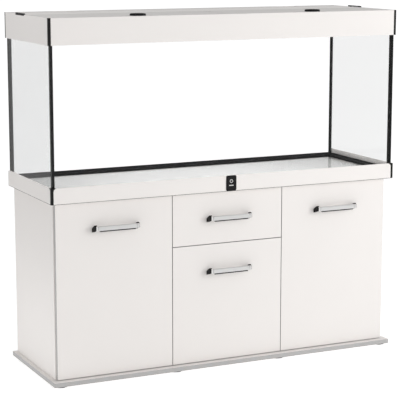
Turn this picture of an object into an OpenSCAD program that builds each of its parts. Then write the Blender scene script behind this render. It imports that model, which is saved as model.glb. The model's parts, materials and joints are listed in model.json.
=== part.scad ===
// Glass aquarium with a lift-off hood, on a white three-bay cabinet.
// Millimetres, +Z up, the front faces -Y, and the origin is on the floor under the middle.

/* [Tank] */
// Outer length of the glass tank
tank_l = 1500; // [1300:10:1600]
// Outer depth of the glass tank, front to back
tank_d = 500; // [480:5:560]
// Height of the glass tank from under its bottom pane
tank_h = 600; // [500:10:700]
// Thickness of the upright panes
pane_t = 10; // [8:1:12]
// Thickness of the bottom pane
floor_t = 12; // [10:1:15]

/* [Trim] */
// Wall thickness of the skirt and hood panels
trim_t = 5; // [4:0.5:6]
// Height of the skirt round the foot of the tank
skirt_h = 62; // [55:1:70]
// Height of the hood
hood_h = 102; // [95:1:130]
// Width of the black strips at the corners
corner_w = 10; // [6:1:12]

/* [Cabinet] */
// Height of the cabinet's upright panels
carcass_h = 698; // [640:1:760]
// Thickness of the side panels, partitions and shelves
panel_t = 16; // [15:1:19]
// Thickness of the base plate and the top board
board_t = 18; // [16:1:22]
// Height of the floor glides
glide_h = 4; // [3:1:6]

/* [Fronts] */
// Thickness of the doors and the drawer front
front_t = 16; // [16:1:18]
// Gap between neighbouring fronts
front_gap = 3; // [3:0.5:4]
// Height of the drawer front
drawer_h = 211; // [190:1:230]
// Length of the handles
handle_l = 190; // [160:2:220]

/* [Hidden] */
$fn = 48;

// Colours
white = "#f2efec";
light_grey = "#cfcfcf";
black = "#161616";
silver = "#c9cbcd";
steel = "#9a9da0";
glass = [0.86, 0.93, 0.93, 0.3];

// Outline of the trim: the skirt and the hood share it
trim_gap = 1;
outer_x = tank_l / 2 + trim_gap + trim_t;
outer_y = tank_d / 2 + trim_gap + trim_t;
inner_x = outer_x - trim_t;
inner_y = outer_y - trim_t;

// Levels above the floor
plate_top = glide_h + board_t;
carcass_top = plate_top + carcass_h;
board_top = carcass_top + board_t;
mat_t = 4;
tank_z = board_top + mat_t;
floor_top = tank_z + floor_t;
joint_t = 1;
wall_z = floor_top + joint_t;
tank_top = tank_z + tank_h;
skirt_z = carcass_top - 1;
hood_z = tank_top - 27;
hood_top = hood_z + hood_h;

// Carcass in plan
side_inset = 22;
side_x = outer_x - side_inset;
side_in_x = side_x - panel_t;
face_y = 28 - outer_y;
front_clear = 2;
carcass_y = face_y + front_t + front_clear;
carcass_back = tank_d / 2;
back_t = 5;
back_y = carcass_back - back_t - 2;
hose_slot_h = 80;

// Fronts
fronts_x = side_x - front_gap;
front_w = (2 * fronts_x - 2 * front_gap) / 3;
part_x = front_w / 2 + front_gap / 2;
part_in = part_x - panel_t / 2;
part_out = part_x + panel_t / 2;
front_z0 = plate_top + 3;
front_z1 = carcass_top - 3;
drawer_z0 = front_z1 - drawer_h;
centre_z1 = drawer_z0 - front_gap;
split_z = drawer_z0 - front_gap / 2;
handle_drop = 104;

// Shelves and fasteners
shelf_z = 370;
shelf_set_back = 20;
pin_d = 5;
pin_l = 16;
fit_gap = 0.05;
screw_r = 3;
screw_head_r = 5;
screw_head_h = 4;
screw_l = 48;
screw_ys = [carcass_y + 60, carcass_back - 60];

// Concealed hinge, measured from the front-outer edge of a door
cup_r = 17.5;
cup_depth = 11.5;
cup_x = 22.5;
cup_pin = [10, 12];
arm_pin = [30, 26];
hinge_pin_r = 2;
cup_pin_l = 19;
link_h = 8;
link_w = 3;
link_eye_r = 3.1;
link_crank = 5.7;
arm_w = 7.2;
fork_gap = 0.2;
fork_t = 2;
arm_l = 60;
hinge_margin = 90;

// Drawer box and its runners
drawer_side_t = 12;
drawer_side_h = 120;
drawer_box_z = split_z + panel_t / 2 + 17;
drawer_depth = 400;
runner_gap = 12.5;
runner_z = drawer_box_z + 20;
runner_h = 35;
runner_l = 390;
drawer_x = part_in - runner_gap;

// Handle, measured from the front of a door and the middle of its bar
handle_out = 36;
bar_t = 10;
bar_h = 19;
bar_inset = 5;
post_w = 12;
foot_z = [-18, -3];
handle_screw_z = -10;
handle_screw_r = 2;
side_door_mid = (fronts_x + front_w / 2 + front_gap) / 2;

// Glides under the base plate
glide_r = 27;
glide_ys = [31 - outer_y, 140];

// Skirt and hood details
ledge_t = mat_t;
ledge_w = 20;
skirt_round = 14;
flare_w = corner_w + 11;
hood_ledge_w = 15;
hood_ledge_z = tank_top + 0.2;
hood_lip_w = 9;
rod_end = 2.5;
flap_t = 6;
flap_y = 12;
flap_half_gap = 3;
bar_y0 = flap_y + 4;
bar_y1 = 176;
strip_y0 = bar_y1 + 3;
rod_r = 1.5;
rod_gap = 0.06;
lid_z = hood_top - flap_t;
hinge_z = hood_top - flap_t / 2;
pull_r = 31;
pull_h = 8;
pull_x = 381;
outlet_y = [16, 118];
outlet_mid = (outlet_y[0] + outlet_y[1]) / 2;
outlet_rise = 5;
outlet_drop = 4;
outlet_slot = [60, 5.2];
hose_notch = [120, 40];
hose_notch_x = 500;

// Lamp
lamp_y = (bar_y0 + bar_y1) / 2;
lamp_x = 640;
lamp_w = 120;
lamp_h = 30;
tube_r = 8;
tube_half = 575;
tube_pitch = 56;
tube_z = lid_z - lamp_h + 8;

// ---------- shared shapes ----------

// A box between two corners
module block(low, high) {
    translate(low)
        cube(high - low);
}

// A pair of mirror images about the middle plane of the length
module both_ends() {
    children();
    mirror([1, 0, 0])
        children();
}

// An upright outline with its two upper corners rounded, standing on the X axis
module tab_outline(length, height, radius) {
    square([length, height - radius]);
    translate([radius, 0])
        square([length - 2 * radius, height]);
    for (x = [radius, length - radius])
        translate([x, height - radius])
            circle(radius);
}

// Moves a part from door space to its place: edge_x is the hinged edge
module at_hinge(edge_x, side, z) {
    translate([edge_x, face_y, z])
        mirror([side < 0 ? 0 : 1, 0, 0])
            children();
}

// The heights of the two hinges of a door whose upper edge is at top
function hinge_heights(top) = [front_z0 + hinge_margin, top - hinge_margin];

// Repeats a hinge part at both heights of one door
module each_hinge(edge_x, side, top) {
    for (z = hinge_heights(top))
        at_hinge(edge_x, side, z)
            children();
}

// ---------- cabinet ----------

module glides() {
    outer = outer_x - 36;
    inner = part_x - 14;
    color(black)
        for (x = [-outer, -inner, inner, outer])
            for (y = glide_ys)
                translate([x, y, 0])
                    cylinder(h = glide_h, r = glide_r);
}

// Screw with its head at z = 0 and its shank downwards
module screw_body(extra) {
    translate([0, 0, -screw_head_h])
        cylinder(h = screw_head_h, r = screw_head_r + extra);
    translate([0, 0, -screw_l])
        cylinder(h = screw_l - screw_head_h, r = screw_r + extra);
}

// Every screw that ties the base plate and the top board to the uprights
module all_screws(extra) {
    for (x = [-side_x + panel_t / 2, -part_x, part_x, side_x - panel_t / 2])
        for (y = screw_ys) {
            translate([x, y, board_top])
                screw_body(extra);
            translate([x, y, glide_h])
                mirror([0, 0, 1])
                    screw_body(extra);
        }
}

module assembly_screws() {
    color(steel)
        all_screws(0);
}

module base_plate() {
    color(white)
        difference() {
            block([-outer_x + 2, -outer_y + 1, glide_h], [outer_x - 2, outer_y - 1, plate_top]);
            all_screws(fit_gap);
        }
}

module top_board() {
    color(white)
        difference() {
            block([-tank_l / 2, -tank_d / 2, carcass_top], [tank_l / 2, tank_d / 2, board_top]);
            all_screws(fit_gap);
        }
}

// Pins under one shelf, each half sunk in an upright
module pin_set(extra) {
    set_back = 60;
    for (face = [side_in_x, part_out])
        for (y = [carcass_y + set_back, back_y - set_back])
            translate([face, y, shelf_z - pin_d / 2])
                rotate([0, 90, 0])
                    cylinder(h = pin_l, r = pin_d / 2 + extra, center = true);
}

module shelf_pins() {
    color(steel)
        both_ends()
            pin_set(0);
}

module side_panel() {
    difference() {
        block([side_in_x, carcass_y, plate_top], [side_x, carcass_back, carcass_top]);
        pin_set(fit_gap);
        all_screws(fit_gap);
    }
}

module right_side_panel() {
    color(white)
        side_panel();
}

module left_side_panel() {
    color(white)
        mirror([1, 0, 0])
            side_panel();
}

module partitions() {
    color(white)
        both_ends()
            difference() {
                block([part_in, carcass_y, plate_top], [part_out, carcass_back, carcass_top]);
                pin_set(fit_gap);
                all_screws(fit_gap);
            }
}

module drawer_shelf() {
    color(white)
        block([-part_in, carcass_y, split_z - panel_t / 2], [part_in, back_y, split_z + panel_t / 2]);
}

module back_panels() {
    slack = 0.5;
    top = carcass_top - hose_slot_h;
    color(white) {
        both_ends()
            block([part_out + slack, back_y, plate_top], [side_in_x - slack, back_y + back_t, top]);
        block([-part_in + slack, back_y, plate_top], [part_in - slack, back_y + back_t, top]);
    }
}

module shelves() {
    slack = 1;
    color(white)
        both_ends()
            block(
                [part_out + slack, carcass_y + shelf_set_back, shelf_z],
                [side_in_x - slack, back_y - 2, shelf_z + panel_t]
            );
}

// Soft stops on the carcass's front edges, behind the free edge of each front
module door_bumpers() {
    bumper_r = 2.5;
    bumper_t = front_clear - 0.2;
    margin = 60;
    off = 5;
    low_z = front_z0 + margin;
    high_z = front_z1 - margin;
    color(light_grey)
        for (spot = [
            [-part_x - off, low_z], [-part_x - off, high_z],
            [part_x + off, low_z], [part_x + off, high_z],
            [part_x - off, low_z], [part_x - off, centre_z1 - margin],
            [part_x - off, high_z], [-part_x + off, high_z]
        ])
            translate([spot[0], carcass_y, spot[1]])
                rotate([90, 0, 0])
                    cylinder(h = bumper_t, r = bumper_r);
}

// ---------- concealed hinges ----------

// Arm and mounting plate; panel_face is the upright's inner face in door space
module hinge_arm(panel_face) {
    fork_z = link_h / 2 + fork_gap;
    fork_l = 12;
    foot_y = arm_pin.y + 22;
    foot_end = arm_pin.y + arm_l - 4;
    plate_h = 50;
    plate_t = 2.5;
    plate_rim = 2;
    for (side = [-1, 1])
        translate([0, 0, side * (fork_z + fork_t / 2)])
            linear_extrude(fork_t, center = true) {
                translate(arm_pin)
                    circle(arm_w / 2);
                translate([arm_pin.x - arm_w / 2, arm_pin.y])
                    square([arm_w, fork_l]);
            }
    translate([arm_pin.x, arm_pin.y, 0])
        cylinder(h = 2 * (fork_z + fork_t), r = hinge_pin_r, center = true);
    block(
        [arm_pin.x - arm_w / 2, arm_pin.y + fork_l - 3, -fork_z - fork_t],
        [arm_pin.x + arm_w / 2, arm_pin.y + arm_l, fork_z + fork_t]
    );
    block(
        [panel_face, foot_y, -fork_z - fork_t],
        [arm_pin.x, foot_end, fork_z + fork_t]
    );
    block(
        [panel_face, foot_y - plate_rim, -plate_h / 2],
        [panel_face + plate_t, foot_end + plate_rim, plate_h / 2]
    );
}

// Cranked link between the arm's pin and the cup's pin
module hinge_link() {
    span = norm(arm_pin - cup_pin);
    turn = atan2(arm_pin.y - cup_pin.y, arm_pin.x - cup_pin.x);
    linear_extrude(link_h, center = true)
        translate(cup_pin)
            rotate(turn)
                difference() {
                    union() {
                        translate([0, -link_crank - link_w / 2])
                            square([span, link_w]);
                        for (x = [0, span]) {
                            translate([x, 0])
                                circle(link_eye_r);
                            translate([x, -link_crank])
                                circle(link_w / 2);
                            translate([x - link_w / 2, -link_crank])
                                square([link_w, link_crank]);
                        }
                    }
                    for (x = [0, span])
                        translate([x, 0])
                            circle(hinge_pin_r + fit_gap);
                }
}

// A cylinder whose axis runs back from the door's face, from depth y0 to y1
module depth_cylinder(x, y0, y1, r) {
    translate([x, y0, 0])
        rotate([-90, 0, 0])
            cylinder(h = y1 - y0, r = r);
}

module hinge_cup() {
    wall = 1;
    wing_w = 12;
    wing_t = 1.5;
    wing_low = 15.5;
    wing_high = 30;
    difference() {
        union() {
            depth_cylinder(cup_x, front_t - cup_depth, front_t, cup_r);
            for (z = [-wing_high, wing_low])
                block(
                    [cup_x, front_t, z],
                    [cup_x + wing_w, front_t + wing_t, z + wing_high - wing_low]
                );
        }
        depth_cylinder(cup_x, front_t - cup_depth + wall, front_t + 5, cup_r - wall);
    }
    translate([cup_pin.x, cup_pin.y, 0])
        cylinder(h = cup_pin_l, r = hinge_pin_r, center = true);
}

module hinge_arms() {
    color(steel) {
        each_hinge(-fronts_x, -1, front_z1)
            hinge_arm(fronts_x - side_in_x);
        each_hinge(-front_w / 2, -1, centre_z1)
            hinge_arm(front_w / 2 - part_in);
        each_hinge(fronts_x, 1, front_z1)
            hinge_arm(fronts_x - side_in_x);
    }
}

module left_hinge_links() {
    color(steel)
        each_hinge(-fronts_x, -1, front_z1)
            hinge_link();
}

module centre_hinge_links() {
    color(steel)
        each_hinge(-front_w / 2, -1, centre_z1)
            hinge_link();
}

module right_hinge_links() {
    color(steel)
        each_hinge(fronts_x, 1, front_z1)
            hinge_link();
}

module left_door_cups() {
    color(steel)
        each_hinge(-fronts_x, -1, front_z1)
            hinge_cup();
}

module centre_door_cups() {
    color(steel)
        each_hinge(-front_w / 2, -1, centre_z1)
            hinge_cup();
}

module right_door_cups() {
    color(steel)
        each_hinge(fronts_x, 1, front_z1)
            hinge_cup();
}

// ---------- doors and handles ----------

// Bow handle centred on x: a bar on two black legs that slope down to the door,
// with its two screws through the front
module handle(x, z) {
    post_x = handle_l / 2 - post_w / 2;
    bar_half = handle_l / 2 - bar_inset;
    bar_back = -handle_out + bar_t;
    shoulder_z = bar_h / 2 + 2.5;
    head_r = 4.5;
    head_h = 2.5;
    translate([x, face_y, z]) {
        color(silver)
            block([-bar_half, -handle_out, -bar_h / 2], [bar_half, bar_back, bar_h / 2]);
        for (side = [-1, 1])
            translate([side * post_x, 0, 0]) {
                color(black)
                    rotate([90, 0, 90])
                        linear_extrude(post_w, center = true)
                            polygon([
                                [0, foot_z[0]], [0, foot_z[1]], [bar_back + 6, shoulder_z],
                                [bar_back + 2, shoulder_z], [bar_back, bar_h / 2], [bar_back, -bar_h / 2]
                            ]);
                color(steel)
                    translate([0, 0, handle_screw_z]) {
                        depth_cylinder(0, 0, front_t, handle_screw_r);
                        depth_cylinder(0, front_t, front_t + head_h, head_r);
                    }
            }
    }
}

// Clearance holes for the handle's screws
module handle_holes(x, z) {
    for (side = [-1, 1])
        translate([x + side * (handle_l / 2 - post_w / 2), face_y, z + handle_screw_z])
            depth_cylinder(0, -1, front_t + 1, handle_screw_r + fit_gap);
}

// One front panel, from x0 to x1 and z0 to z1, drilled for its handle
module front_panel(x0, x1, z0, z1) {
    difference() {
        block([x0, face_y, z0], [x1, face_y + front_t, z1]);
        handle_holes((x0 + x1) / 2, z1 - handle_drop);
    }
}

module cup_bores(edge_x, side, top) {
    each_hinge(edge_x, side, top)
        depth_cylinder(cup_x, front_t - cup_depth, front_t + 1, cup_r + fit_gap);
}

module left_door_panel() {
    color(white)
        difference() {
            front_panel(-fronts_x, -fronts_x + front_w, front_z0, front_z1);
            cup_bores(-fronts_x, -1, front_z1);
        }
}

module centre_door_panel() {
    color(white)
        difference() {
            front_panel(-front_w / 2, front_w / 2, front_z0, centre_z1);
            cup_bores(-front_w / 2, -1, centre_z1);
        }
}

module right_door_panel() {
    color(white)
        difference() {
            front_panel(fronts_x - front_w, fronts_x, front_z0, front_z1);
            cup_bores(fronts_x, 1, front_z1);
        }
}

module left_handle() {
    handle(-side_door_mid, front_z1 - handle_drop);
}

module centre_handle() {
    handle(0, centre_z1 - handle_drop);
}

module right_handle() {
    handle(side_door_mid, front_z1 - handle_drop);
}

// ---------- drawer ----------

module drawer_front() {
    color(white)
        front_panel(-front_w / 2, front_w / 2, drawer_z0, front_z1);
}

// Two sides, a back and a bottom board, joined behind the front
module drawer_box() {
    y0 = face_y + front_t;
    y1 = y0 + drawer_depth;
    bottom_t = 5;
    in_x = drawer_x - drawer_side_t;
    color(light_grey) {
        both_ends()
            block([in_x, y0, drawer_box_z], [drawer_x, y1, drawer_box_z + drawer_side_h]);
        block([-in_x, y1 - drawer_side_t, drawer_box_z], [in_x, y1, drawer_box_z + drawer_side_h]);
        block([-in_x, y0, drawer_box_z], [in_x, y1 - drawer_side_t, drawer_box_z + bottom_t]);
    }
}

module drawer_handle() {
    handle(0, front_z1 - handle_drop);
}

// Fixed channel on each partition
module cabinet_runners() {
    steel_t = 1.5;
    lip_x = drawer_x + 1.5;
    y0 = carcass_y + 3;
    y1 = y0 + runner_l;
    color(light_grey)
        both_ends()
            difference() {
                block([lip_x, y0, runner_z], [part_in, y1, runner_z + runner_h]);
                block(
                    [lip_x - 1, y0 - 1, runner_z + steel_t],
                    [part_in - steel_t, y1 + 1, runner_z + runner_h - steel_t]
                );
            }
}

// Bar on each drawer side that slides in the channel
module drawer_runners() {
    slack = 2.5;
    y0 = carcass_y + 6;
    slide_l = runner_l - 20;
    color(light_grey)
        both_ends()
            block(
                [drawer_x, y0, runner_z + slack],
                [part_in - slack, y0 + slide_l, runner_z + runner_h - slack]
            );
}

// ---------- tank ----------

module foam_mat() {
    inset = trim_gap + ledge_w;
    color("#e6e8e8")
        block(
            [-tank_l / 2 + inset, -tank_d / 2 + inset, board_top],
            [tank_l / 2 - inset, tank_d / 2 - inset, tank_z]
        );
}

module bottom_pane() {
    color(glass)
        block([-tank_l / 2, -tank_d / 2, tank_z], [tank_l / 2, tank_d / 2, floor_top]);
}

module long_pane() {
    block([-tank_l / 2, -tank_d / 2, wall_z], [tank_l / 2, -tank_d / 2 + pane_t, tank_top]);
}

module short_pane() {
    half = tank_d / 2 - pane_t - joint_t;
    block([tank_l / 2 - pane_t, -half, wall_z], [tank_l / 2, half, tank_top]);
}

module front_pane() {
    color(glass)
        long_pane();
}

module back_pane() {
    color(glass)
        mirror([0, 1, 0])
            long_pane();
}

module right_pane() {
    color(glass)
        short_pane();
}

module left_pane() {
    color(glass)
        mirror([1, 0, 0])
            short_pane();
}

// Black silicone in each upright joint, with a bead in the corner
module corner_seams() {
    bead = 5;
    in_x = tank_l / 2 - pane_t;
    in_y = tank_d / 2 - pane_t;
    color(black)
        both_ends()
            for (side = [-1, 1])
                scale([1, side, 1])
                    translate([0, 0, wall_z])
                        linear_extrude(tank_top - wall_z)
                            polygon([
                                [in_x, in_y - joint_t], [tank_l / 2, in_y - joint_t],
                                [tank_l / 2, in_y], [in_x - bead, in_y],
                                [in_x, in_y - bead - joint_t]
                            ]);
}

// Black silicone under the panes, and the bead along the foot of each one
module bottom_seams() {
    bead = 10;
    in_x = tank_l / 2 - pane_t;
    in_y = tank_d / 2 - pane_t;
    section = [[0, 0], [pane_t + bead, 0], [pane_t, bead + joint_t], [pane_t, joint_t], [0, joint_t]];
    color(black) {
        for (side = [-1, 1])
            scale([1, side, 1])
                translate([-tank_l / 2, -tank_d / 2, floor_top])
                    rotate([90, 0, 90])
                        linear_extrude(tank_l)
                            polygon([[0, 0], [pane_t, 0], [pane_t, joint_t], [0, joint_t]]);
        for (side = [-1, 1])
            scale([1, side, 1])
                translate([-in_x + bead, -in_y, floor_top])
                    rotate([90, 0, 90])
                        linear_extrude(2 * (in_x - bead))
                            polygon([[0, 0], [bead, 0], [0, bead + joint_t]]);
        both_ends()
            translate([-tank_l / 2, in_y - bead, floor_top])
                rotate([90, 0, 0])
                    linear_extrude(2 * (in_y - bead))
                        polygon(section);
    }
}

// Two long glass ribs under the rim and one cross brace over them
module glass_braces() {
    rib_w = 50;
    rib_t = 8;
    cross_w = 160;
    end_gap = 6;
    cross_gap = 4;
    in_x = tank_l / 2 - pane_t - end_gap;
    in_y = tank_d / 2 - pane_t;
    z0 = hood_z - rib_t;
    color(glass) {
        for (side = [-1, 1])
            scale([1, side, 1])
                block([-in_x, in_y - rib_w, z0 + rib_t], [in_x, in_y, z0 + 2 * rib_t]);
        block(
            [-cross_w / 2, -in_y + cross_gap, z0 + 2 * rib_t],
            [cross_w / 2, in_y - cross_gap, z0 + 3 * rib_t]
        );
    }
}

// ---------- skirt ----------

// Ledge along the front or the back that the glass stands on
module long_ledge() {
    block([-inner_x, -inner_y, board_top], [inner_x, -inner_y + ledge_w, board_top + ledge_t]);
}

module front_skirt() {
    half = outer_x - corner_w;
    color(white) {
        translate([-half, -inner_y, skirt_z])
            rotate([90, 0, 0])
                linear_extrude(trim_t)
                    tab_outline(2 * half, skirt_h, skirt_round);
        long_ledge();
    }
}

// Low strip along the back, level with the bottom pane
module back_skirt() {
    color(white)
        mirror([0, 1, 0]) {
            block([-inner_x, -outer_y, skirt_z], [inner_x, -inner_y, floor_top]);
            long_ledge();
        }
}

// Side panels, which run on to the back of the tank
module side_skirts() {
    front = corner_w - outer_y;
    ledge_y = inner_y - ledge_w;
    color(white)
        both_ends() {
            translate([inner_x, front, skirt_z])
                rotate([90, 0, 90])
                    linear_extrude(trim_t)
                        tab_outline(outer_y - front, skirt_h, skirt_round);
            block([inner_x - ledge_w, -ledge_y, board_top], [inner_x, ledge_y, board_top + ledge_t]);
        }
}

// Half of a corner piece: a strip that flares out over the rounded end of a skirt
module corner_leg_outline() {
    difference() {
        square([flare_w, skirt_h]);
        translate([corner_w, 0])
            tab_outline(4 * skirt_round, skirt_h, skirt_round);
    }
}

module skirt_corner() {
    translate([outer_x, -inner_y, skirt_z])
        rotate([90, 0, 0])
            linear_extrude(trim_t)
                mirror([1, 0])
                    corner_leg_outline();
    translate([inner_x, -outer_y, skirt_z])
        rotate([90, 0, 90])
            linear_extrude(trim_t)
                corner_leg_outline();
}

module skirt_corners() {
    color(black)
        both_ends()
            skirt_corner();
}

// Plain rounded plate clipped on the middle of the front skirt
module badge() {
    badge_w = 45;
    badge_t = 2;
    round_r = 6;
    color(black)
        translate([0, -outer_y, skirt_z + skirt_h / 2])
            rotate([90, 0, 0])
                linear_extrude(badge_t) {
                    square([badge_w - 2 * round_r, skirt_h], center = true);
                    square([badge_w, skirt_h - 2 * round_r], center = true);
                    for (x = [-1, 1])
                        for (z = [-1, 1])
                            translate([x * (badge_w / 2 - round_r), z * (skirt_h / 2 - round_r)])
                                circle(round_r);
                }
}

// ---------- hood ----------

// Long rail: the wall, and the ledge that rests on the rim of the glass
module long_rail() {
    half = outer_x - corner_w;
    block([-half, -outer_y, hood_z], [half, -inner_y, hood_top]);
    block(
        [-half, -inner_y, hood_ledge_z],
        [half, -inner_y + hood_ledge_w, hood_ledge_z + ledge_t]
    );
}

// The front rail also carries the lip that the flaps close on
module hood_front_rail() {
    lip_t = 4.2;
    lip_z = lid_z - 0.3;
    color(white) {
        long_rail();
        block([-inner_x, -inner_y, lip_z - lip_t], [inner_x, -inner_y + hood_lip_w, lip_z]);
    }
}

module hood_back_rail() {
    color(white)
        mirror([0, 1, 0])
            long_rail();
}

module hood_side_rails() {
    half = outer_y - corner_w;
    ledge_y = inner_y - hood_ledge_w;
    color(white)
        both_ends()
            difference() {
                union() {
                    block([inner_x, -half, hood_z], [outer_x, half, hood_top]);
                    block(
                        [inner_x - hood_ledge_w, -ledge_y, hood_ledge_z],
                        [inner_x, ledge_y, hood_ledge_z + ledge_t]
                    );
                }
                rod_hole();
                block(
                    [inner_x - 1, outlet_y[0], hood_top - outlet_drop],
                    [outer_x + 1, outlet_y[1], hood_top + 1]
                );
            }
}

// Space for the rod that the flaps turn on
module rod_hole() {
    translate([0, flap_y, hinge_z])
        rotate([0, 90, 0])
            cylinder(h = 2 * (inner_x + rod_end + 0.5), r = rod_r + rod_gap, center = true);
}

module flap_rod() {
    color(steel)
        translate([0, flap_y, hinge_z])
            rotate([0, 90, 0])
                cylinder(h = 2 * (inner_x + rod_end), r = rod_r, center = true);
}

module hood_corners() {
    color(black)
        both_ends()
            for (side = [-1, 1])
                scale([1, side, 1]) {
                    block([outer_x - corner_w, -outer_y, hood_z], [outer_x, -inner_y, hood_top]);
                    block([inner_x, -inner_y, hood_z], [outer_x, -outer_y + corner_w, hood_top]);
                }
}

// Rib between the two flaps, which holds the middle of the rod
module hood_rib() {
    rib_half = flap_half_gap - 0.5;
    rib_h = 22;
    bearing_y = flap_y - 6;
    color(white)
        difference() {
            union() {
                block([-rib_half, -inner_y + hood_lip_w, lid_z - rib_h], [rib_half, bar_y0, lid_z - 0.5]);
                block([-rib_half, bearing_y, lid_z - 1], [rib_half, bar_y0, hood_top]);
            }
            rod_hole();
        }
}

// Fixed cover over the lamps, with a downturned edge front and back,
// and a notch at each end for the lamp's leads
module hood_centre_bar() {
    edge_t = 3;
    edge_h = 16;
    notch_w = 10;
    notch_slack = 4;
    color(white)
        difference() {
            union() {
                block([-inner_x, bar_y0, lid_z], [inner_x, bar_y1, hood_top]);
                for (y = [bar_y0, bar_y1 - edge_t])
                    block([-inner_x, y, lid_z - edge_h], [inner_x, y + edge_t, lid_z]);
            }
            both_ends()
                block(
                    [inner_x - notch_w, outlet_mid - outlet_slot.x / 2 - notch_slack, lid_z - 1],
                    [inner_x + 1, outlet_mid + outlet_slot.x / 2 + notch_slack, hood_top + 1]
                );
        }
}

// Rear cover, notched for hoses and cables
module hood_rear_strip() {
    color(white)
        difference() {
            block([-inner_x, strip_y0, lid_z], [inner_x, inner_y, hood_top]);
            for (side = [-1, 1])
                block(
                    [side * hose_notch_x - hose_notch.x / 2, inner_y - hose_notch.y, lid_z - 1],
                    [side * hose_notch_x + hose_notch.x / 2, inner_y + 1, hood_top + 1]
                );
        }
}

// Reflector tray, open below
module lamp_housing() {
    wall = 2.5;
    color(light_grey)
        difference() {
            block([-lamp_x, lamp_y - lamp_w / 2, lid_z - lamp_h], [lamp_x, lamp_y + lamp_w / 2, lid_z]);
            block(
                [-lamp_x + wall, lamp_y - lamp_w / 2 + wall, lid_z - lamp_h - 1],
                [lamp_x - wall, lamp_y + lamp_w / 2 - wall, lid_z - wall]
            );
        }
}

module lamp_tubes() {
    color("white")
        for (side = [-1, 1])
            translate([0, lamp_y + side * tube_pitch / 2, tube_z])
                rotate([0, 90, 0])
                    cylinder(h = 2 * tube_half, r = tube_r, center = true);
}

module lamp_sockets() {
    socket_l = 32;
    socket_r = 12;
    overlap = 14;
    color(black)
        both_ends()
            for (side = [-1, 1])
                translate([tube_half - overlap, lamp_y + side * tube_pitch / 2, tube_z])
                    rotate([0, 90, 0])
                        difference() {
                            cylinder(h = socket_l, r = socket_r);
                            translate([0, 0, -1])
                                cylinder(h = overlap + 1, r = tube_r + fit_gap);
                        }
}

// Black outlet for the lamp's leads, let into the top of each end
module cable_outlets() {
    top = hood_top + outlet_rise;
    bottom = hood_top - outlet_drop;
    slot_z = (top + bottom) / 2;
    color(black)
        both_ends()
            difference() {
                block([inner_x, outlet_y[0], bottom], [outer_x, outlet_y[1], top]);
                block(
                    [inner_x - 1, outlet_mid - outlet_slot.x / 2, slot_z - outlet_slot.y / 2],
                    [outer_x + 1, outlet_mid + outlet_slot.x / 2, slot_z + outlet_slot.y / 2]
                );
            }
}

// Flap over one half of the front, with a round rear edge that turns on the rod
module flap() {
    x0 = flap_half_gap;
    x1 = inner_x - 2;
    y0 = -inner_y + 1;
    difference() {
        union() {
            block([x0, y0, lid_z], [x1, flap_y, hood_top]);
            translate([x0, flap_y, hinge_z])
                rotate([0, 90, 0])
                    cylinder(h = x1 - x0, r = flap_t / 2);
        }
        rod_hole();
    }
}

module right_flap() {
    color(white)
        flap();
}

module left_flap() {
    color(white)
        mirror([1, 0, 0])
            flap();
}

// Round dished finger pull on the front of a flap
module flap_pull(x) {
    rim = 4;
    dish = 3;
    color(black)
        translate([x, -inner_y + pull_r + 2, hood_top])
            difference() {
                cylinder(h = pull_h, r = pull_r);
                translate([0, 0, pull_h - dish])
                    cylinder(h = dish + 1, r = pull_r - rim);
            }
}

module right_flap_pull() {
    flap_pull(pull_x);
}

module left_flap_pull() {
    flap_pull(-pull_x);
}

// ---------- drawing ----------

glides();
base_plate();
left_side_panel();
right_side_panel();
partitions();
top_board();
drawer_shelf();
back_panels();
shelves();
shelf_pins();
assembly_screws();
hinge_arms();
cabinet_runners();
door_bumpers();
foam_mat();
bottom_pane();
front_pane();
back_pane();
left_pane();
right_pane();
corner_seams();
bottom_seams();
glass_braces();
front_skirt();
back_skirt();
side_skirts();
skirt_corners();
badge();
left_door_panel();
left_door_cups();
left_handle();
left_hinge_links();
centre_door_panel();
centre_door_cups();
centre_handle();
centre_hinge_links();
right_door_panel();
right_door_cups();
right_handle();
right_hinge_links();
drawer_front();
drawer_box();
drawer_runners();
drawer_handle();
hood_front_rail();
hood_back_rail();
hood_side_rails();
hood_corners();
hood_rib();
hood_centre_bar();
hood_rear_strip();
flap_rod();
lamp_housing();
lamp_tubes();
lamp_sockets();
cable_outlets();
left_flap();
left_flap_pull();
right_flap();
right_flap_pull();
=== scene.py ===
"""Looks of the aquarium on its stand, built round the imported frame. Lengths are in metres."""
import json
import math

import bmesh
import bpy
from mathutils import Matrix, Vector

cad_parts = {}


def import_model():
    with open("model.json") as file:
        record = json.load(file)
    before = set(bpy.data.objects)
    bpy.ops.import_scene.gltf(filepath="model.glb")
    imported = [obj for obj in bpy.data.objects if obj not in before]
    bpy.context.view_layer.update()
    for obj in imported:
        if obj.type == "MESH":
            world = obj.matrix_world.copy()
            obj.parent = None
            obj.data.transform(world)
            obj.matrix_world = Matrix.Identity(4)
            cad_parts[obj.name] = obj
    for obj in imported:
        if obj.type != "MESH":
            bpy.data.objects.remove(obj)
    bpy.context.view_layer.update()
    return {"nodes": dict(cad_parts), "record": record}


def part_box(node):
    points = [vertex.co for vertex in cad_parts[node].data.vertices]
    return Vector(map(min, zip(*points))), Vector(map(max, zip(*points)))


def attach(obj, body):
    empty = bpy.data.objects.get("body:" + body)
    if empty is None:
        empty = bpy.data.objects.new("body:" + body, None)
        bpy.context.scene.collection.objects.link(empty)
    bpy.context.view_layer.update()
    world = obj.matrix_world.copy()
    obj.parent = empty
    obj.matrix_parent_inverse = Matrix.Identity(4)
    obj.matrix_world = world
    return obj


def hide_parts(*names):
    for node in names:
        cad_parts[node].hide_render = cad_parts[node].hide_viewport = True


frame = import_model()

RECORD = frame["record"]
SLOT_OF = {row["node"]: row["material_slot"] for row in RECORD["subparts"]}
BODY_OF = {node: body for body, nodes in RECORD["behaviour"]["bodies"].items() for node in nodes}
MM = 0.001

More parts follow.
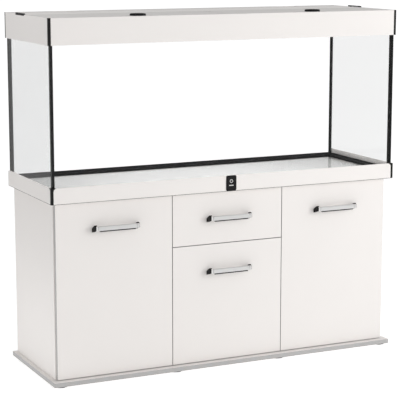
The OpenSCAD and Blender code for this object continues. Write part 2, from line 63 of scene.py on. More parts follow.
# Brightness of the surroundings: near the horizon and overhead, times the share on the left and the right
SKY_HORIZON = 0.76
SKY_TOP = 0.62
SKY_LEFT = 0.36
SKY_RIGHT = 1.28
# Glow of the floor as a source of light, and as the camera sees it
FLOOR_BOUNCE = 0.24
FLOOR_GLOW = 0.55
# Camera: place, degrees round to the right and down, and lens in mm
CAMERA_SPOT = (-2.592, -5.412, 1.701)
CAMERA_YAW = 25.46
CAMERA_TIP = 10.02
CAMERA_LENS = 132.6

# Turns for a flat plate on the front, a round bar along X, and a screw head on the back of a door
FRONT_PLATE = Matrix.Rotation(math.radians(90), 4, "X")
ALONG_X = Matrix(((0, 0, 1, 0), (1, 0, 0, 0), (0, 1, 0, 0), (0, 0, 0, 1)))
BEHIND_DOOR = Matrix.Rotation(math.radians(-90), 4, "X")


# ---------- materials ----------

def linear(red, green, blue):
    """The linear colour of a colour given as 0 to 255 display values."""
    def channel(value):
        value /= 255
        return value / 12.92 if value <= 0.04045 else ((value + 0.055) / 1.055) ** 2.4
    return (channel(red), channel(green), channel(blue), 1.0)


def scaled(colour, factor):
    """A lighter or darker shade of a linear colour."""
    return tuple(min(1.0, c * factor) for c in colour[:3]) + (1.0,)


def new_material(name):
    """An empty node material, with its tree and its output node."""
    material = bpy.data.materials.new(name)
    material.use_nodes = True
    tree = material.node_tree
    tree.nodes.clear()
    output = tree.nodes.new("ShaderNodeOutputMaterial")
    return material, tree, output


def noise(tree, scale, detail, stretch=(1, 1, 1)):
    """A noise texture in the object's own metres, stretched along its axes."""
    coords = tree.nodes.new("ShaderNodeTexCoord")
    mapping = tree.nodes.new("ShaderNodeMapping")
    mapping.inputs["Scale"].default_value = stretch
    texture = tree.nodes.new("ShaderNodeTexNoise")
    texture.inputs["Scale"].default_value = scale
    texture.inputs["Detail"].default_value = detail
    tree.links.new(coords.outputs["Object"], mapping.inputs["Vector"])
    tree.links.new(mapping.outputs["Vector"], texture.inputs["Vector"])
    return texture.outputs["Fac"]


def ramp(tree, value, from_low, from_high, to_low, to_high):
    """The value, mapped from one span to another and kept within it."""
    node = tree.nodes.new("ShaderNodeMapRange")
    node.inputs["From Min"].default_value = from_low
    node.inputs["From Max"].default_value = from_high
    node.inputs["To Min"].default_value = to_low
    node.inputs["To Max"].default_value = to_high
    tree.links.new(value, node.inputs["Value"])
    return node.outputs["Result"]


def spread(tree, value, low, high):
    """A noise value, mapped from its usual span to low and high."""
    return ramp(tree, value, 0.3, 0.7, low, high)


def blended(tree, value, dark, light):
    """A colour between dark and light, chosen by the noise value."""
    node = tree.nodes.new("ShaderNodeMix")
    node.data_type = "RGBA"
    node.inputs["A"].default_value = dark
    node.inputs["B"].default_value = light
    tree.links.new(spread(tree, value, 0, 1), node.inputs["Factor"])
    return node.outputs["Result"]


def surface(name, colour, roughness, metallic=0.0, tone=0.03, tone_scale=5.0, rough_span=0.05,
            rough_scale=30.0, grain=1500.0, grain_depth=0.02, stretch=(1, 1, 1), coat=0.0, specular=0.5):
    """A solid surface: slow drift in its tone, patches in its gloss, and a fine grain in relief."""
    material, tree, output = new_material(name)
    shader = tree.nodes.new("ShaderNodeBsdfPrincipled")
    shader.inputs["Metallic"].default_value = metallic
    shader.inputs["Specular IOR Level"].default_value = specular
    shader.inputs["Coat Weight"].default_value = coat
    shader.inputs["Coat Roughness"].default_value = 0.12
    drift = noise(tree, tone_scale, 3.0, stretch)
    tint = blended(tree, drift, scaled(colour, 1 - tone), scaled(colour, 1 + tone))
    tree.links.new(tint, shader.inputs["Base Color"])
    patches = noise(tree, rough_scale, 4.0, stretch)
    gloss = spread(tree, patches, roughness - rough_span, roughness + rough_span)
    tree.links.new(gloss, shader.inputs["Roughness"])
    bump = tree.nodes.new("ShaderNodeBump")
    bump.inputs["Strength"].default_value = 0.35
    bump.inputs["Distance"].default_value = grain_depth * MM
    tree.links.new(noise(tree, grain, 2.0, stretch), bump.inputs["Height"])
    tree.links.new(bump.outputs["Normal"], shader.inputs["Normal"])
    tree.links.new(shader.outputs["BSDF"], output.inputs["Surface"])
    return material


def float_glass(name, square_on, aslant):
    """Clear glass. Rays that cross it aslant lose more, and the outer skin mirrors by Fresnel."""
    material, tree, output = new_material(name)
    clear = tree.nodes.new("ShaderNodeBsdfTransparent")
    mirror = tree.nodes.new("ShaderNodeBsdfGlossy")
    fresnel = tree.nodes.new("ShaderNodeFresnel")
    fresnel.inputs["IOR"].default_value = 1.33
    geometry = tree.nodes.new("ShaderNodeNewGeometry")
    outside = tree.nodes.new("ShaderNodeMath")
    outside.operation = "SUBTRACT"
    outside.inputs[0].default_value = 1.0
    tree.links.new(geometry.outputs["Backfacing"], outside.inputs[1])
    share = tree.nodes.new("ShaderNodeMath")
    share.operation = "MULTIPLY"
    tree.links.new(fresnel.outputs["Fac"], share.inputs[0])
    tree.links.new(outside.outputs["Value"], share.inputs[1])
    slope = tree.nodes.new("ShaderNodeLayerWeight")
    slope.inputs["Blend"].default_value = 0.5
    eased = tree.nodes.new("ShaderNodeMapRange")
    eased.interpolation_type = "SMOOTHSTEP"
    tree.links.new(slope.outputs["Facing"], eased.inputs["Value"])
    depth = tree.nodes.new("ShaderNodeMix")
    depth.data_type = "RGBA"
    depth.inputs["A"].default_value = square_on
    depth.inputs["B"].default_value = aslant
    tree.links.new(eased.outputs["Result"], depth.inputs["Factor"])
    tree.links.new(depth.outputs["Result"], clear.inputs["Color"])
    smudges = noise(tree, 7.0, 4.0)
    tree.links.new(spread(tree, smudges, 0.005, 0.02), mirror.inputs["Roughness"])
    mix = tree.nodes.new("ShaderNodeMixShader")
    tree.links.new(share.outputs["Value"], mix.inputs["Fac"])
    tree.links.new(clear.outputs["BSDF"], mix.inputs[1])
    tree.links.new(mirror.outputs["BSDF"], mix.inputs[2])
    tree.links.new(mix.outputs["Shader"], output.inputs["Surface"])
    return material


BOARD = surface("white_melamine", linear(248, 244, 241), 0.45, tone=0.006, tone_scale=3, grain=700,
                grain_depth=0.008)
BOARD_EDGE = surface("grey_edge_band", linear(190, 189, 188), 0.40, tone=0.02, grain=600,
                     grain_depth=0.008)
TRIM = surface("white_trim_plastic", linear(249, 245, 242), 0.38, tone=0.004, tone_scale=3,
               rough_span=0.02, rough_scale=8, grain=900, grain_depth=0.004)
LID = surface("grained_lid_plastic", linear(236, 233, 230), 0.50, tone=0.008, grain=600,
              grain_depth=0.012)
BLACK = surface("black_moulded_plastic", linear(20, 20, 21), 0.55, tone=0.10, grain=900,
                grain_depth=0.02, specular=0.25)
SILICONE = surface("black_silicone", linear(14, 14, 15), 0.50, tone=0.10, rough_span=0.06,
                   grain=60, grain_depth=0.05, specular=0.2)
RUBBER = surface("dark_rubber", linear(44, 44, 45), 0.75, tone=0.10, grain=900, grain_depth=0.03)
ALUMINIUM = surface("matt_anodised_bar", linear(222, 222, 221), 0.40, metallic=0.7, tone=0.02,
                    rough_span=0.06, rough_scale=60, grain=700, grain_depth=0.006,
                    stretch=(0.02, 1, 1))
BRIGHT = surface("bright_end_cap", linear(238, 237, 236), 0.30, metallic=0.5, tone=0.015,
                 rough_span=0.04, grain=900, grain_depth=0.004)
STEEL = surface("nickelled_steel", linear(188, 187, 184), 0.28, metallic=1.0, tone=0.05,
                rough_span=0.08, rough_scale=220, grain=1500, grain_depth=0.008)
ENAMEL = surface("white_enamel", linear(236, 236, 234), 0.35, tone=0.02, grain=500, grain_depth=0.02)
DRAWER_GREY = surface("pale_grey_metal", linear(205, 207, 209), 0.40, tone=0.02, grain=700,
                      grain_depth=0.015)
FOAM = surface("white_foam", linear(246, 246, 245), 0.85, tone=0.02, tone_scale=90, grain=300,
               grain_depth=0.12)
REFLECTOR = surface("bright_reflector", linear(226, 228, 231), 0.18, metallic=0.9, tone=0.02,
                    grain=300, grain_depth=0.01, stretch=(0.05, 1, 1))
OPAL = surface("opal_tube", linear(250, 250, 250), 0.20, tone=0.01, grain=200, grain_depth=0.005,
               coat=0.4)
MARK = surface("pale_print", linear(228, 228, 226), 0.45, tone=0.03, grain=900, grain_depth=0.005)
GLASS = float_glass("clear_float_glass", (1.0, 1.0, 1.0, 1.0), (0.85, 0.853, 0.853, 1.0))
GLASS_EDGE = surface("ground_glass_edge", linear(22, 30, 28), 0.35, tone=0.1, grain=900,
                     grain_depth=0.02, specular=0.3)


# ---------- mesh tools ----------

# Edges turn sharp above the first angle and get rounded above the second
SHARP_ANGLE = math.radians(40)
ROUNDED_ANGLE = math.radians(35)


def box_mesh(low, high, radius, segments=3):
    """A box between two corners, with all its edges rounded."""
    mesh = bmesh.new()
    bmesh.ops.create_cube(mesh, size=1.0)
    low, high = Vector(low), Vector(high)
    size = high - low
    bmesh.ops.scale(mesh, vec=size, verts=mesh.verts)
    bmesh.ops.translate(mesh, vec=(low + high) / 2, verts=mesh.verts)
    if radius > 0:
        bmesh.ops.bevel(mesh, geom=list(mesh.edges), offset=min(radius, min(size) * 0.45),
                        segments=segments, profile=0.5, affect="EDGES")
    return mesh


def lathe_mesh(profile, steps=48):
    """A solid of revolution round Z: profile is a list of (radius, height), from axis to axis."""
    mesh = bmesh.new()
    rings = []
    for radius, height in profile:
        if radius == 0:
            rings.append([mesh.verts.new((0, 0, height))])
            continue
        turns = [2 * math.pi * k / steps for k in range(steps)]
        rings.append([mesh.verts.new((radius * math.cos(a), radius * math.sin(a), height)) for a in turns])
    for lower, upper in zip(rings, rings[1:]):
        for k in range(steps):
            n = (k + 1) % steps
            corners = [lower[k % len(lower)], lower[n % len(lower)],
                       upper[n % len(upper)], upper[k % len(upper)]]
            mesh.faces.new(list(dict.fromkeys(corners)))
    bmesh.ops.recalc_face_normals(mesh, faces=mesh.faces)
    return mesh


def prism_mesh(outline, depth, radius=0.0, segments=2):
    """An outline in the XY plane, extruded up to depth, with its two rims rounded."""
    mesh = bmesh.new()
    lower = [mesh.verts.new((x, y, 0)) for x, y in outline]
    upper = [mesh.verts.new((x, y, depth)) for x, y in outline]
    mesh.faces.new(lower[::-1])
    mesh.faces.new(upper)
    for k in range(len(outline)):
        n = (k + 1) % len(outline)
        mesh.faces.new((lower[k], lower[n], upper[n], upper[k]))
    if radius > 0:
        rims = [e for e in mesh.edges if abs(e.verts[0].co.z - e.verts[1].co.z) < 1e-7]
        bmesh.ops.bevel(mesh, geom=rims, offset=radius, segments=segments, profile=0.5, affect="EDGES")
    return mesh


def rounded_outline(width, height, radius, steps=8):
    """A rectangle about the origin with round corners."""
    points = []
    for turn, (sx, sy) in enumerate([(1, 1), (-1, 1), (-1, -1), (1, -1)]):
        cx, cy = sx * (width / 2 - radius), sy * (height / 2 - radius)
        for k in range(steps + 1):
            a = math.pi / 2 * (turn + k / steps)
            points.append((cx + radius * math.cos(a), cy + radius * math.sin(a)))
    return points


class Piece:
    """One visible piece, put together from parts that each take one of its materials."""

    def __init__(self, *materials):
        self.materials = materials
        self.mesh = bmesh.new()

    def add(self, part, material, matrix=None):
        """Takes in a part, moved by the matrix."""
        if matrix is not None:
            bmesh.ops.transform(part, matrix=matrix, verts=part.verts)
        for face in part.faces:
            face.material_index = self.materials.index(material)
        carrier = bpy.data.meshes.new("carrier")
        part.to_mesh(carrier)
        part.free()
        self.mesh.from_mesh(carrier)
        bpy.data.meshes.remove(carrier)

    def place(self, name, body, slot, replaces=()):
        """Makes the object, with even shading, and ties it to its body. The slot is not used."""
        data = bpy.data.meshes.new(name)
        self.mesh.to_mesh(data)
        self.mesh.free()
        for material in self.materials:
            data.materials.append(material)
        obj = bpy.data.objects.new(name, data)
        bpy.context.scene.collection.objects.link(obj)
        shade(obj)
        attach(obj, body)
        if replaces:
            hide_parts(*replaces)

    def stand_for(self, node):
        """Makes the object in place of a CAD node."""
        self.place(node + "_detail", BODY_OF[node], SLOT_OF[node], [node])


def shade(obj):
    """Smooth shading that keeps the flats flat."""
    obj.data.shade_smooth()
    obj.data.set_sharp_from_angle(angle=SHARP_ANGLE)
    even = obj.modifiers.new("even", "WEIGHTED_NORMAL")
    even.keep_sharp = True


def softened(node, material, width, segments=2, band=None, flat_axis=2):
    """The CAD node, rounded by width in mm. band is for the faces that don't face along flat_axis."""
    data = frame["nodes"][node].data.copy()
    data.name = node + "_soft"
    data.materials.clear()
    data.materials.append(material)
    if band:
        data.materials.append(band)
    mesh = bmesh.new()
    mesh.from_mesh(data)
    bmesh.ops.remove_doubles(mesh, verts=mesh.verts, dist=1e-6)
    bmesh.ops.dissolve_limit(mesh, angle_limit=math.radians(0.5), verts=mesh.verts, edges=mesh.edges)
    mesh.normal_update()
    for face in mesh.faces:
        face.material_index = 1 if band and abs(face.normal[flat_axis]) < 0.5 else 0
    mesh.to_mesh(data)
    mesh.free()
    obj = bpy.data.objects.new(node + "_soft", data)
    bpy.context.scene.collection.objects.link(obj)
    rounding = obj.modifiers.new("rounding", "BEVEL")
    rounding.width = width * MM
    rounding.segments = segments
    rounding.limit_method = "ANGLE"
    rounding.angle_limit = ROUNDED_ANGLE
    shade(obj)
    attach(obj, BODY_OF[node])
    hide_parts(node)


# ---------- cabinet ----------

def carcass():
    softened("base_plate", BOARD, 0.8, 2, band=BOARD_EDGE)
    for node in ("left_side_panel", "right_side_panel", "partitions", "top_board", "drawer_shelf", "shelves"):
        softened(node, BOARD, 0.8)
    softened("back_panels", BOARD, 0.4)
    for node in ("left_door_panel", "centre_door_panel", "right_door_panel", "drawer_front"):
        softened(node, BOARD, 0.8, 2, band=BOARD_EDGE, flat_axis=1)
    softened("drawer_box", DRAWER_GREY, 1.0)
    for node in ("cabinet_runners", "drawer_runners"):
        softened(node, ENAMEL, 0.5)
    for node in ("shelf_pins", "assembly_screws", "hinge_arms"):
        softened(node, STEEL, 0.4)
    for door in ("left", "centre", "right"):
        softened(door + "_door_cups", STEEL, 0.3)
        softened(door + "_hinge_links", STEEL, 0.4)


def glides():
    """Ringed rubber pads under the base plate: two rows at its ends and two near the partitions."""
    low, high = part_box("glides")
    radius = 27 * MM
    height = high.z
    profile = [
        (0, 0.4 * MM), (radius * 0.3, 0.4 * MM), (radius * 0.34, 0), (radius * 0.62, 0),
        (radius * 0.66, 0.5 * MM), (radius * 0.72, 0.5 * MM), (radius * 0.76, 0),
        (radius - 1 * MM, 0), (radius, 1 * MM), (radius, height), (0, height),
    ]
    piece = Piece(RUBBER)
    half_gap, inset = 1.5 * MM, 14 * MM
    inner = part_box("drawer_front")[1].x + half_gap - inset
    for x in (low.x + radius, -inner, inner, high.x - radius):
        for y in (low.y + radius, high.y - radius):
            piece.add(lathe_mesh(profile), RUBBER, Matrix.Translation((x, y, 0)))
    piece.stand_for("glides")


def bumpers():
    """Small rubber buffers that the doors and the drawer front close on."""
    softened("door_bumpers", RUBBER, 0.6, 3)


def leg_mesh(profile, inner, foot, toe, way):
    """A handle's leg. profile is (depth, height); its outer face runs from foot, on the door, to toe."""
    depth = max(d for d, z in profile)
    mesh = bmesh.new()
    near = [mesh.verts.new((way * inner, -d, z)) for d, z in profile]
    far = [mesh.verts.new((way * (foot + (toe - foot) * d / depth), -d, z)) for d, z in profile]
    mesh.faces.new(near)
    mesh.faces.new(far[::-1])
    for k in range(len(profile)):
        n = (k + 1) % len(profile)
        mesh.faces.new((near[k], near[n], far[n], far[k]))
    bmesh.ops.recalc_face_normals(mesh, faces=mesh.faces)
    bmesh.ops.bevel(mesh, geom=list(mesh.edges), offset=0.4 * MM, segments=2, profile=0.5, affect="EDGES")
    return mesh


def handle(node, panel):
    """Silver bar with bright ends on two black legs, a dark grip strip under it, and its screws."""
    low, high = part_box(node)
    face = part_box(panel)[0].y
    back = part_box(panel)[1].y
    half = (high.x - low.x) / 2
    reach = face - low.y
    bar_h, bar_t, bar_round = 19 * MM, 10 * MM, 4 * MM
    bar_half, leg_w, cap_l = half - 5 * MM, 12 * MM, 8 * MM
    foot_low, foot_high = -18 * MM, -3 * MM
    shoulder = high.z - low.z + foot_low
    x, z = (low.x + high.x) / 2, low.z - foot_low
    place = Matrix.Translation((x, face, z))
    rear = reach - bar_t
    leg = [(0, foot_low), (0, foot_high), (rear - 8 * MM, shoulder - 1.5 * MM), (rear - 5 * MM, shoulder),
           (rear - 2 * MM, shoulder), (rear + 1 * MM, shoulder - 3 * MM), (rear + 1 * MM, 1 * MM - bar_h / 2)]
    plate = leg[:5] + [(rear + 2 * MM, bar_h / 2), (reach - 4 * MM, bar_h / 2 - 1 * MM),
                       (reach - 1.4 * MM, bar_h / 2 - 4 * MM), (reach - 1.4 * MM, 4 * MM - bar_h / 2),
                       (reach - 4 * MM, 0.5 * MM - bar_h / 2), (rear, -bar_h / 2)]
    slope = 4 * MM / reach
    screw_head = [(0, 1.2 * MM), (1.6 * MM, 1.4 * MM), (2.0 * MM, 2.4 * MM), (3.4 * MM, 2.2 * MM),
                  (4.5 * MM, 1.0 * MM), (4.5 * MM, 0), (0, 0)]
    piece = Piece(ALUMINIUM, BRIGHT, BLACK, STEEL)
    middle = bar_half - cap_l
    bar = box_mesh((-middle, -reach, -bar_h / 2), (middle, -rear, bar_h / 2), bar_round, 5)
    piece.add(bar, ALUMINIUM, place)
    grip_half = bar_half - 16 * MM
    grip = box_mesh((-grip_half, 1.2 * MM - reach, -bar_h / 2 - 3 * MM),
                    (grip_half, -rear, 2 * MM - bar_h / 2), 0.8 * MM, 2)
    piece.add(grip, BLACK, place)
    for way in (-1, 1):
        ends = sorted((way * bar_half, way * (bar_half - cap_l + 0.1 * MM)))
        cap = box_mesh((ends[0], -reach, -bar_h / 2), (ends[1], -rear, bar_h / 2), bar_round, 5)
        piece.add(cap, BRIGHT, place)
        toe = half - slope * rear
        piece.add(leg_mesh(leg, half - leg_w, half, toe, way), BLACK, place)
        piece.add(leg_mesh(plate, bar_half - 0.5 * MM, half, bar_half + 0.4 * MM, way), BLACK, place)
        head = Matrix.Translation((x + way * (half - leg_w / 2), back, z - 10 * MM)) @ BEHIND_DOOR
        piece.add(lathe_mesh(screw_head, 24), STEEL, head)
    piece.stand_for(node)


# ---------- tank ----------

# Thickness of the upright panes and of the silicone joints
PANE_T = 10 * MM
JOINT_T = 1 * MM


def glass_strips(node, boxes, thin_axis):
    """Glass boxes with arrised edges: the faces that don't face along thin_axis are ground."""
    piece = Piece(GLASS, GLASS_EDGE)
    for low, high in boxes:
        piece.add(box_mesh(low, high, 0.7 * MM, 1), GLASS)
    piece.mesh.normal_update()
    for face in piece.mesh.faces:
        face.material_index = 0 if abs(face.normal[thin_axis]) > 0.9 else 1
    piece.stand_for(node)


def braces():
    """Two long ribs and a cross brace, each a glass strip with ground edges."""
    low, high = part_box("glass_braces")
    rib_w, rib_t, cross_half, cross_gap = 50 * MM, 8 * MM, 80 * MM, 4 * MM
    boxes = [
        ((low.x, low.y, low.z), (high.x, low.y + rib_w, low.z + rib_t)),
        ((low.x, high.y - rib_w, low.z), (high.x, high.y, low.z + rib_t)),
        ((-cross_half, low.y + cross_gap, low.z + rib_t), (cross_half, high.y - cross_gap, high.z)),
    ]
    glass_strips("glass_braces", boxes, 2)


def corner_seams():
    """Upright black joints, each with a hollow bead in the inner corner."""
    low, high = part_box("corner_seams")
    bead = 5 * MM
    in_x, in_y = high.x - PANE_T, high.y
    outline = [(in_x, in_y - JOINT_T), (high.x, in_y - JOINT_T), (high.x, in_y)]
    for k in range(9):
        a = math.pi / 2 * k / 8
        outline.append((in_x - bead + bead * math.sin(a), in_y - bead + bead * math.cos(a)))
    piece = Piece(SILICONE)
    for sx in (1, -1):
        for sy in (1, -1):
            flip = Matrix.Diagonal((sx, sy, 1, 1)).to_4x4()
            part = prism_mesh(outline, high.z - low.z)
            bmesh.ops.transform(part, matrix=Matrix.Translation((0, 0, low.z)) @ flip, verts=part.verts)
            bmesh.ops.recalc_face_normals(part, faces=part.faces)
            piece.add(part, SILICONE)
    piece.stand_for("corner_seams")


def bottom_seams():
    """Hollow bead round the foot of the panes, mitred at the corners, and the joint under them."""
    low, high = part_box("bottom_seams")
    bead = high.z - low.z - JOINT_T
    in_x, in_y = high.x - PANE_T, high.y - PANE_T
    part = bmesh.new()
    rings = []
    section = [(bead, 0)]
    for k in range(1, 9):
        a = math.pi / 2 * k / 8
        section.append((bead - bead * math.sin(a), JOINT_T + bead - bead * math.cos(a)))
    section += [(0, JOINT_T), (0, 0)]
    for inset, height in section:
        x, y, z = in_x - inset, in_y - inset, low.z + height
        rings.append([part.verts.new(p) for p in ((x, y, z), (-x, y, z), (-x, -y, z), (x, -y, z))])
    for k, ring in enumerate(rings):
        other = rings[(k + 1) % len(rings)]
        for c in range(4):
            n = (c + 1) % 4
            part.faces.new((ring[c], ring[n], other[n], other[c]))
    bmesh.ops.recalc_face_normals(part, faces=part.faces)
    piece = Piece(SILICONE)
    piece.add(part, SILICONE)
    for way in (-1, 1):
        ys = sorted((way * in_y, way * high.y))
        xs = sorted((way * in_x, way * high.x))
        piece.add(box_mesh((low.x, ys[0], low.z), (high.x, ys[1], low.z + JOINT_T), 0.2 * MM, 1), SILICONE)
        piece.add(box_mesh((xs[0], -in_y, low.z), (xs[1], in_y, low.z + JOINT_T), 0.2 * MM, 1), SILICONE)
    piece.stand_for("bottom_seams")


def tank():
    softened("foam_mat", FOAM, 1.5, 3)
    for node, thin_axis in (("bottom_pane", 2), ("front_pane", 1), ("back_pane", 1),
                            ("left_pane", 0), ("right_pane", 0)):
        glass_strips(node, [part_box(node)], thin_axis)
    braces()
    corner_seams()
    bottom_seams()


# ---------- skirt ----------

def skirt():
    for node in ("front_skirt", "back_skirt", "side_skirts"):
        softened(node, TRIM, 0.9, 3)
    softened("skirt_corners", BLACK, 0.6, 2)


def skirt_shadow_strip():
    """Thin dark strip along the lower rim of the skirt, all the way round: painted shadow, standing in for
    the shade line under the rim.
    """
    wide, tall, tuck, set_back = 3.4 * MM, 1.6 * MM, 0.3 * MM, 0.6 * MM
    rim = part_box("front_skirt")[0].z
    out_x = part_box("side_skirts")[1].x - set_back
    out_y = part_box("back_skirt")[1].y - set_back
    bottom, top = rim - tall, rim + tuck
    piece = Piece(RUBBER)
    for way in (-1, 1):
        ys = sorted((way * out_y, way * (out_y - wide)))
        xs = sorted((way * out_x, way * (out_x - wide)))
        piece.add(box_mesh((-out_x, ys[0], bottom), (out_x, ys[1], top), 0.5 * MM, 2), RUBBER)
        piece.add(box_mesh((xs[0], wide - out_y, bottom), (xs[1], out_y - wide, top), 0.5 * MM, 2), RUBBER)
    piece.place("skirt_shadow_strip", "root", "rubber_pads")


def badge():
    """Plain black plate with a small pale ring over a short bar."""
    low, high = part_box("badge")
    width, height = high.x - low.x, high.z - low.z
    thick = high.y - low.y
    centre = Vector(((low.x + high.x) / 2, high.y, (low.z + high.z) / 2))
    place = Matrix.Translation(centre) @ FRONT_PLATE
    piece = Piece(BLACK, MARK)
    piece.add(prism_mesh(rounded_outline(width, height, 6 * MM), thick - 0.3 * MM, 0.5 * MM), BLACK, place)
    ring = lathe_mesh([(5 * MM, 0), (7 * MM, 0), (7 * MM, 0.3 * MM), (5 * MM, 0.3 * MM), (5 * MM, 0)], 40)
    lift = thick - 0.35 * MM
    piece.add(ring, MARK, place @ Matrix.Translation((0, 8 * MM, lift)))
    bar = prism_mesh(rounded_outline(20 * MM, 3.4 * MM, 1.6 * MM), 0.3 * MM)
    piece.add(bar, MARK, place @ Matrix.Translation((0, -9 * MM, lift)))
    piece.stand_for("badge")


# ---------- hood ----------

def hood():
    for node in ("hood_front_rail", "hood_back_rail", "hood_side_rails"):
        softened(node, TRIM, 1.4, 3)
    softened("hood_corners", BLACK, 0.5, 2)
    softened("hood_rib", TRIM, 0.4)
    softened("hood_centre_bar", TRIM, 0.9, 3)
    softened("hood_rear_strip", LID, 0.9, 3)
    softened("flap_rod", STEEL, 0.3)
    softened("cable_outlets", BLACK, 0.5, 2)
    softened("lamp_housing", REFLECTOR, 0.6)
    softened("lamp_sockets", BLACK, 0.8)


def bristles():
    """Two rows of stiff bristles that close the slot of each cable outlet round its leads."""
    low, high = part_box("cable_outlets")
    slot_l, slot_h, pitch, part = 60 * MM, 5.2 * MM, 1.5 * MM, 0.3 * MM
    y, z = (low.y + high.y) / 2, (low.z + high.z) / 2
    count = int(slot_l / pitch)
    piece = Piece(BLACK)
    for way in (-1, 1):
        x = way * (high.x - 2.5 * MM)
        for k in range(count):
            start = y - slot_l / 2 + (k + 0.05) * pitch
            end = start + 0.9 * pitch
            for bottom, top in ((z - slot_h / 2, z - part), (z + part, z + slot_h / 2)):
                tuft = box_mesh((x - 0.5 * MM, start, bottom), (x + 0.5 * MM, end, top), 0.15 * MM, 1)
                piece.add(tuft, BLACK)
    piece.place("cable_bristles", "hood", SLOT_OF["cable_outlets"])


def tubes():
    """Opal tubes with metal end ferrules."""
    low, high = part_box("lamp_tubes")
    radius = (high.z - low.z) / 2
    length = high.x - low.x
    ferrule = 18 * MM
    piece = Piece(OPAL, STEEL)
    for y in (low.y + radius, high.y - radius):
        spin = Matrix.Translation((low.x, y, low.z + radius)) @ ALONG_X
        glass = [(0, ferrule), (radius - 0.4 * MM, ferrule), (radius - 0.4 * MM, length - ferrule),
                 (0, length - ferrule)]
        piece.add(lathe_mesh(glass, 40), OPAL, spin)
        for start, end in ((0, ferrule), (length - ferrule, length)):
            cap = [(0, start), (radius - 1 * MM, start), (radius, start + 1 * MM), (radius, end - 1 * MM),
                   (radius - 1 * MM, end), (0, end)]
            piece.add(lathe_mesh(cap, 40), STEEL, spin)
    piece.stand_for("lamp_tubes")


def flap(side):
    """Grained lid with shallow stiffening ribs under it."""
    node = side + "_flap"
    softened(node, LID, 0.7, 3)
    low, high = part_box(node)
    rib_t, rib_h, bays = 2 * MM, 4 * MM, 8
    front, back = low.y + 14 * MM, high.y - 8 * MM
    piece = Piece(LID)
    for k in range(1, bays):
        x = low.x + (high.x - low.x) * k / bays
        rib = box_mesh((x - rib_t / 2, front, low.z - rib_h), (x + rib_t / 2, back, low.z), 0.6 * MM, 2)
        piece.add(rib, LID)
    piece.place(side + "_flap_ribs", BODY_OF[node], SLOT_OF[node])


def finger_pull(side):
    """Round dished pull with a rolled rim and two grip rings in the dish."""
    node = side + "_flap_pull"
    low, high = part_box(node)
    radius = (high.x - low.x) / 2
    height = high.z - low.z
    top, dish = height, height - 3.2 * MM
    profile = [(0, dish)]
    for ring in (9 * MM, 17 * MM):
        profile += [(ring - 1.2 * MM, dish), (ring - 0.5 * MM, dish + 0.7 * MM),
                    (ring + 0.5 * MM, dish + 0.7 * MM), (ring + 1.2 * MM, dish)]
    profile += [
        (radius - 6.5 * MM, dish + 0.2 * MM), (radius - 5 * MM, top - 1.2 * MM),
        (radius - 4 * MM, top - 0.3 * MM), (radius - 2.8 * MM, top),
        (radius - 1.5 * MM, top - 0.3 * MM), (radius - 0.4 * MM, top - 1.4 * MM),
        (radius, top - 2.8 * MM), (radius, 0), (0, 0),
    ]
    piece = Piece(BLACK)
    place = Matrix.Translation(((low.x + high.x) / 2, (low.y + high.y) / 2, low.z))
    piece.add(lathe_mesh(profile, 72), BLACK, place)
    piece.stand_for(node)


# ---------- stage ----------

def stage():
    """Endless pale floor."""
    reach = 300.0
    material, tree, output = new_material("studio_floor")
    shader = tree.nodes.new("ShaderNodeBsdfPrincipled")
    shader.inputs["Roughness"].default_value = 0.9
    shader.inputs["Specular IOR Level"].default_value = 0.1
    shader.inputs["Emission Color"].default_value = (1, 1, 1, 1)
    rays = tree.nodes.new("ShaderNodeLightPath")
    glow = tree.nodes.new("ShaderNodeMapRange")
    glow.inputs["To Min"].default_value = FLOOR_BOUNCE
    glow.inputs["To Max"].default_value = FLOOR_GLOW
    tree.links.new(rays.outputs["Is Camera Ray"], glow.inputs["Value"])
    tree.links.new(glow.outputs["Result"], shader.inputs["Emission Strength"])
    tint = blended(tree, noise(tree, 0.8, 2.0), (0.93, 0.93, 0.93, 1), (0.95, 0.95, 0.95, 1))
    tree.links.new(tint, shader.inputs["Base Color"])
    tree.links.new(shader.outputs["BSDF"], output.inputs["Surface"])
    data = bpy.data.meshes.new("floor")
    corners = [(-reach, -reach, 0), (reach, -reach, 0), (reach, reach, 0), (-reach, reach, 0)]
    data.from_pydata(corners, [], [(0, 1, 2, 3)])
    data.materials.append(material)
    floor = bpy.data.objects.new("floor", data)
    bpy.context.scene.collection.objects.link(floor)


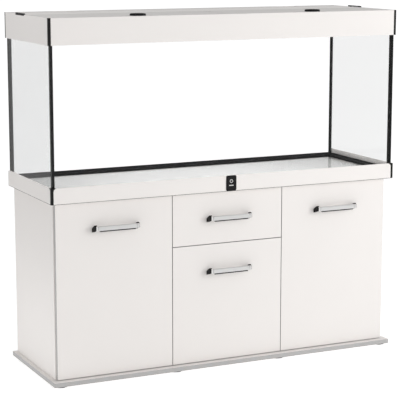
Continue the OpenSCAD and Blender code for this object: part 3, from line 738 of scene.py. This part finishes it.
def world():
    """White surroundings, dimmer overhead and to the left, plain white where the camera sees them."""
    studio = bpy.data.worlds.new("studio")
    bpy.context.scene.world = studio
    studio.use_nodes = True
    tree = studio.node_tree
    tree.nodes.clear()
    output = tree.nodes.new("ShaderNodeOutputWorld")
    background = tree.nodes.new("ShaderNodeBackground")
    background.inputs["Color"].default_value = (1, 1, 1, 1)
    coords = tree.nodes.new("ShaderNodeTexCoord")
    split = tree.nodes.new("ShaderNodeSeparateXYZ")
    tree.links.new(coords.outputs["Generated"], split.inputs["Vector"])
    height = ramp(tree, split.outputs["Z"], 0, 1, SKY_HORIZON, SKY_TOP)
    side = ramp(tree, split.outputs["X"], -1, 1, SKY_LEFT, SKY_RIGHT)
    level = tree.nodes.new("ShaderNodeMath")
    level.operation = "MULTIPLY"
    tree.links.new(height, level.inputs[0])
    tree.links.new(side, level.inputs[1])
    rays = tree.nodes.new("ShaderNodeLightPath")
    seen = tree.nodes.new("ShaderNodeMix")
    seen.inputs["B"].default_value = 1.0
    tree.links.new(level.outputs["Value"], seen.inputs["A"])
    tree.links.new(rays.outputs["Is Camera Ray"], seen.inputs["Factor"])
    tree.links.new(seen.outputs["Result"], background.inputs["Strength"])
    tree.links.new(background.outputs["Background"], output.inputs["Surface"])


def area_light(name, spot, aim, depth, power, length=None):
    """A soft lamp that is out of sight itself and leaves no reflection."""
    data = bpy.data.lights.new(name, "AREA")
    data.shape = "ELLIPSE"
    data.size = length or depth
    data.size_y = depth
    data.energy = power
    light = bpy.data.objects.new(name, data)
    light.location = spot
    light.rotation_euler = (Vector(aim) - Vector(spot)).to_track_quat("-Z", "Y").to_euler()
    light.visible_camera = False
    light.visible_glossy = False
    bpy.context.scene.collection.objects.link(light)


def lights():
    """Key from the right, and small fills for the low left side, the hood's left end and the tank."""
    area_light("key", (2.6, -3.2, 1.8), (0.6, 0, 0.9), 1.8, 44)
    area_light("low_left", (-1.35, 0, 0.08), (-0.75, 0, 0.12), 0.4, 1.9, 1.3)
    area_light("high_left", (-1.35, -0.1, 1.75), (-0.76, 0, 1.36), 0.4, 0.8, 0.5)
    area_light("tank_fill", (0, 0, 1.3), (0, 0, 0.7), 0.45, 4.6, 1.4)


def camera():
    """Long lens from the front left, a little above the hood and tipped down."""
    data = bpy.data.cameras.new("camera")
    data.lens = CAMERA_LENS
    data.sensor_width = 36.0
    data.clip_end = 1000.0
    view = bpy.data.objects.new("camera", data)
    view.location = CAMERA_SPOT
    view.rotation_euler = (math.radians(90 - CAMERA_TIP), 0, math.radians(-CAMERA_YAW))
    bpy.context.scene.collection.objects.link(view)
    bpy.context.scene.camera = view


camera()
carcass()
glides()
bumpers()
for door in ("left", "centre", "right"):
    handle(door + "_handle", door + "_door_panel")
handle("drawer_handle", "drawer_front")
tank()
skirt()
# Painted shadow: a dark strip under the skirt's rim in place of its shade line
skirt_shadow_strip()
badge()
hood()
bristles()
tubes()
for half in ("left", "right"):
    flap(half)
    finger_pull(half)
stage()
world()
lights()
bpy.context.scene.view_settings.view_transform = "Standard"
# Light has to get through many panes in a row
bpy.context.scene.cycles.transparent_max_bounces = 40
